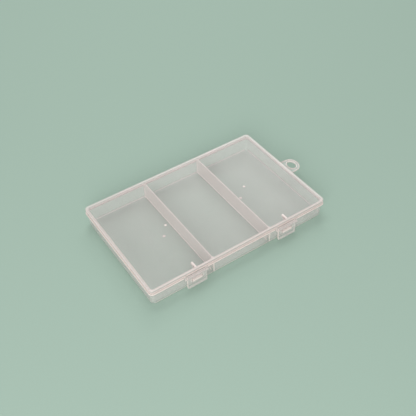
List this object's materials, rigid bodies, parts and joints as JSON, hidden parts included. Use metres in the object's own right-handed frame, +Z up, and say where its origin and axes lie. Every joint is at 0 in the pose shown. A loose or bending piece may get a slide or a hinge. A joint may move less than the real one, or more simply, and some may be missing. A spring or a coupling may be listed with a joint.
{
  "type": "compartment storage case",
  "caption": "Flat rectangular translucent case with cross dividers, hinged lid, front snap latches and a hanging ring.",
  "frame": {"origin": "centre of the tray's flat underside, midway along and across the lid's outline", "axes": "+X along the length towards the hanging ring, -Y towards the latches, +Z up through the lid"},
  "size_m": [0.1916, 0.1198, 0.0182],
  "materials": {
    "tray_plastic": "milky translucent, satin",
    "lid_plastic": "milky translucent, fine matt top",
    "latch_left_plastic": "milky translucent, satin",
    "latch_right_plastic": "milky translucent, satin"
  },
  "bodies": {
    "tray": {"tray": "tray_plastic"},
    "lid": {"lid": "lid_plastic"},
    "latch_left": {"latch_left": "latch_left_plastic"},
    "latch_right": {"latch_right": "latch_right_plastic"}
  },
  "joints": [
    {"name": "lid_hinge", "type": "hinge", "parent": "tray", "child": "lid", "pos_m": [0, 0.0583, 0.0126], "axis": [-1, 0, 0], "range_deg": [0, 180]},
    {"name": "latch_left_hinge", "type": "hinge", "parent": "lid", "child": "latch_left", "pos_m": [-0.0464, -0.0581, 0.013], "axis": [-1, 0, 0], "range_deg": [0, 175]},
    {"name": "latch_right_hinge", "type": "hinge", "parent": "lid", "child": "latch_right", "pos_m": [0.0442, -0.0581, 0.013], "axis": [-1, 0, 0], "range_deg": [0, 175]}
  ]
}
